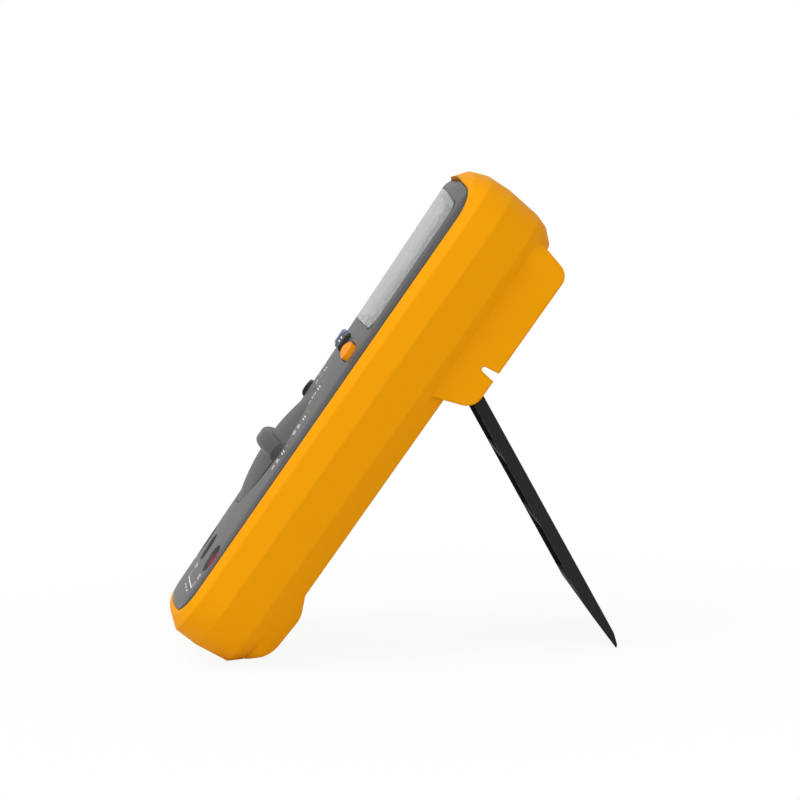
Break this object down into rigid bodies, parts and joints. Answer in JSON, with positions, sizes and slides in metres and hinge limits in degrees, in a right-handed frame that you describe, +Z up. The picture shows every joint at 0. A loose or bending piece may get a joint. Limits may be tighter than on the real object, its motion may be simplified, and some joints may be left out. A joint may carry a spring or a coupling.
{
  "type": "digital multimeter",
  "caption": "Hand-held digital multimeter in a faceted yellow holster, standing on its open tilt stand, with rotary dial, keys, display and input jacks.",
  "frame": {"origin": "middle of the footprint, on the surface that the meter stands on", "axes": "+Z up, +X to the user's right, -Y towards the user, whom the leaning face looks at"},
  "size_m": [0.09, 0.1502, 0.1611],
  "materials": {
    "holster_yellow": "satin, finely textured",
    "stand_black": "satin",
    "case_grey": "satin, finely textured",
    "case_dark": "satin",
    "fastener_black": "satin",
    "seal_rubber": "matt",
    "lens_clear": "polished",
    "lcd_grey": "glossy",
    "frame_white": "satin",
    "guide_clear": "glossy",
    "zebra_rubber": "matt",
    "board_green": "satin",
    "keypad_rubber": "matt",
    "key_orange": "satin",
    "key_dark": "satin",
    "key_blue": "satin",
    "dial_grey": "satin",
    "rotor_white": "satin",
    "contact_gold": "polished",
    "spring_steel": "brushed",
    "block_black": "satin",
    "fuse_body": "glossy ceramic",
    "battery_can": "gloss paint",
    "screw_steel": "zinc plated",
    "shield_tin": "tin plated",
    "buzzer_black": "matt",
    "sleeve_brass": "plated",
    "collar_black": "satin",
    "collar_red": "satin"
  },
  "bodies": {
    "case": {"holster": "holster_yellow", "front_case": "case_grey", "rear_case": "case_dark", "case_seal": "seal_rubber", "display_lens": "lens_clear", "lcd_glass": "lcd_grey", "lcd_frame": "frame_white", "light_guide": "guide_clear", "zebra_strips": "zebra_rubber", "main_board": "board_green", "keypad": "keypad_rubber", "detent_spring": "spring_steel", "jack_block": "block_black", "jack_sleeve_1": "sleeve_brass", "jack_collar_1": "collar_black", "jack_sleeve_2": "sleeve_brass", "jack_collar_2": "collar_black", "jack_sleeve_3": "sleeve_brass", "jack_collar_3": "collar_black", "jack_sleeve_4": "sleeve_brass", "jack_collar_4": "collar_red", "fuse_1": "fuse_body", "fuse_2": "fuse_body", "fuse_clips": "spring_steel", "battery": "battery_can", "battery_contacts": "contact_gold", "battery_door": "case_dark", "case_screws": "screw_steel", "shield": "shield_tin", "buzzer": "buzzer_black"},
    "stand": {"tilt_stand": "stand_black"},
    "dial": {"dial_knob": "dial_grey", "knob_rotor": "rotor_white", "rotor_contacts": "contact_gold"},
    "fastener": {"door_fastener": "fastener_black"},
    "key_shift": {"key_shift": "key_orange"},
    "key_hold": {"key_hold": "key_dark"},
    "key_range": {"key_range": "key_blue"},
    "key_peak": {"key_peak": "key_dark"},
    "key_lamp": {"key_lamp": "key_dark"}
  },
  "joints": [
    {"name": "stand_hinge", "type": "hinge", "parent": "case", "child": "stand", "pos_m": [0, 0.02604, 0.09215], "axis": [-1, 0, 0], "range_deg": [0, 64.12]},
    {"name": "dial_turn", "type": "hinge", "parent": "case", "child": "dial", "pos_m": [0, -0.03384, 0.06785], "axis": [0, -0.7976, 0.6032], "range_deg": [0, 180]},
    {"name": "fastener_turn", "type": "hinge", "parent": "case", "child": "fastener", "pos_m": [0.0264, 0.04888, 0.11223], "axis": [0, 0.7976, -0.6032], "range_deg": [0, 90]},
    {"name": "key_shift_press", "type": "slide", "parent": "case", "child": "key_shift", "axis": [0, 0.7976, -0.6032], "range_m": [0, 0.0007], "stiffness_N_per_m": 600},
    {"name": "key_hold_press", "type": "slide", "parent": "case", "child": "key_hold", "axis": [0, 0.7976, -0.6032], "range_m": [0, 0.0007], "stiffness_N_per_m": 600},
    {"name": "key_range_press", "type": "slide", "parent": "case", "child": "key_range", "axis": [0, 0.7976, -0.6032], "range_m": [0, 0.0007], "stiffness_N_per_m": 600},
    {"name": "key_peak_press", "type": "slide", "parent": "case", "child": "key_peak", "axis": [0, 0.7976, -0.6032], "range_m": [0, 0.0007], "stiffness_N_per_m": 600},
    {"name": "key_lamp_press", "type": "slide", "parent": "case", "child": "key_lamp", "axis": [0, 0.7976, -0.6032], "range_m": [0, 0.0007], "stiffness_N_per_m": 600}
  ]
}
